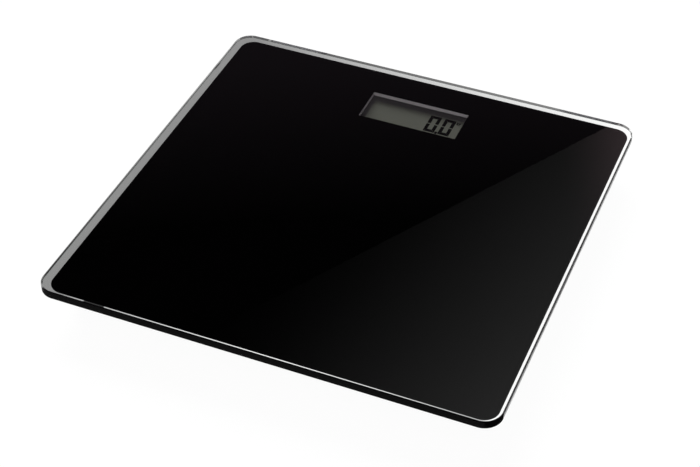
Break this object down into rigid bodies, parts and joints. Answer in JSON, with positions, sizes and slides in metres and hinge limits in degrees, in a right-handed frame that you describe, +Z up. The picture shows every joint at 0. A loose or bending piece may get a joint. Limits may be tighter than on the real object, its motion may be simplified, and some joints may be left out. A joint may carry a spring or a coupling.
{
  "type": "bathroom scale",
  "caption": "Square glass bathroom scale with a black backing, a recessed digital display, floating weighing feet, a unit button and a twist-lock battery door.",
  "frame": {"origin": "on the floor under the middle of the glass plate", "axes": "+Z up, +Y towards the display, +X to the right of a person who faces the display"},
  "size_m": [0.3, 0.3, 0.022],
  "materials": {
    "clear_glass": "clear, polished edge",
    "black_film": "opaque black behind the glass",
    "gasket_foam": "matt foam",
    "lcd_face": "grey reflective display",
    "frame_plastic": "white",
    "zebra_rubber": "conductive strips",
    "board_laminate": "green solder mask",
    "epoxy": "cured drop",
    "chip_ceramic": "tan",
    "screw_steel": "zinc plated",
    "housing_plastic": "fine moulded texture",
    "tape_foam": "double-sided foam tape",
    "cell_steel": "nickel plated",
    "contact_metal": "nickel-plated spring brass",
    "door_plastic": "satin",
    "switch_body": "black",
    "plunger_plastic": "ivory",
    "button_plastic": "grey",
    "bracket_plastic": "fine moulded texture",
    "sensor_steel": "stamped and ground",
    "gauge_potting": "white silicone",
    "foot_plastic": "satin",
    "foot_rubber": "ribbed, dark grey",
    "lead_jacket": "grey sleeve",
    "raceway_plastic": "fine moulded texture"
  },
  "bodies": {
    "platform": {"platform_glass": "clear_glass", "backing_film": "black_film", "display_gasket": "gasket_foam", "lcd_panel": "lcd_face", "lcd_frame": "frame_plastic", "zebra_strips": "zebra_rubber", "main_board": "board_laminate", "controller_blob": "epoxy", "board_parts": "chip_ceramic", "board_screws": "screw_steel", "cover_screws": "screw_steel", "retainer_screws": "screw_steel", "display_housing": "housing_plastic", "housing_cover": "housing_plastic", "housing_tape": "tape_foam", "bracket_tapes": "tape_foam", "coin_cell": "cell_steel", "battery_contact_negative": "contact_metal", "battery_contact_positive": "contact_metal", "unit_switch": "switch_body", "sensor_bracket_front_left": "bracket_plastic", "sensor_bracket_front_right": "bracket_plastic", "sensor_bracket_rear_left": "bracket_plastic", "sensor_bracket_rear_right": "bracket_plastic", "foot_retainer_front_left": "bracket_plastic", "foot_retainer_front_right": "bracket_plastic", "foot_retainer_rear_left": "bracket_plastic", "foot_retainer_rear_right": "bracket_plastic", "load_cell_front_left": "sensor_steel", "load_cell_front_right": "sensor_steel", "load_cell_rear_left": "sensor_steel", "load_cell_rear_right": "sensor_steel", "strain_gauges": "gauge_potting", "sensor_lead_front_left": "lead_jacket", "sensor_lead_front_right": "lead_jacket", "sensor_lead_rear_left": "lead_jacket", "sensor_lead_rear_right": "lead_jacket", "lead_raceway_front_left": "raceway_plastic", "lead_raceway_front_right": "raceway_plastic", "lead_raceway_rear_left": "raceway_plastic", "lead_raceway_rear_right": "raceway_plastic"},
    "foot_front_left": {"foot_front_left": "foot_plastic", "foot_pad_front_left": "foot_rubber"},
    "foot_front_right": {"foot_front_right": "foot_plastic", "foot_pad_front_right": "foot_rubber"},
    "foot_rear_left": {"foot_rear_left": "foot_plastic", "foot_pad_rear_left": "foot_rubber"},
    "foot_rear_right": {"foot_rear_right": "foot_plastic", "foot_pad_rear_right": "foot_rubber"},
    "unit_button": {"unit_button": "button_plastic", "switch_plunger": "plunger_plastic"},
    "battery_door": {"battery_door": "door_plastic"}
  },
  "joints": [
    {"name": "foot_float_front_left", "type": "slide", "parent": "platform", "child": "foot_front_left", "axis": [0, 0, 1], "range_m": [-0.001, 0]},
    {"name": "foot_float_front_right", "type": "slide", "parent": "platform", "child": "foot_front_right", "axis": [0, 0, 1], "range_m": [-0.001, 0]},
    {"name": "foot_float_rear_left", "type": "slide", "parent": "platform", "child": "foot_rear_left", "axis": [0, 0, 1], "range_m": [-0.001, 0]},
    {"name": "foot_float_rear_right", "type": "slide", "parent": "platform", "child": "foot_rear_right", "axis": [0, 0, 1], "range_m": [-0.001, 0]},
    {"name": "unit_button_press", "type": "slide", "parent": "platform", "child": "unit_button", "axis": [0, 0, 1], "range_m": [0, 0.0003], "stiffness_N_per_m": 5000},
    {"name": "battery_door_turn", "type": "hinge", "parent": "platform", "child": "battery_door", "pos_m": [0.0022, 0.0721, 0.0031], "axis": [0, 0, -1], "range_deg": [0, 45]}
  ]
}
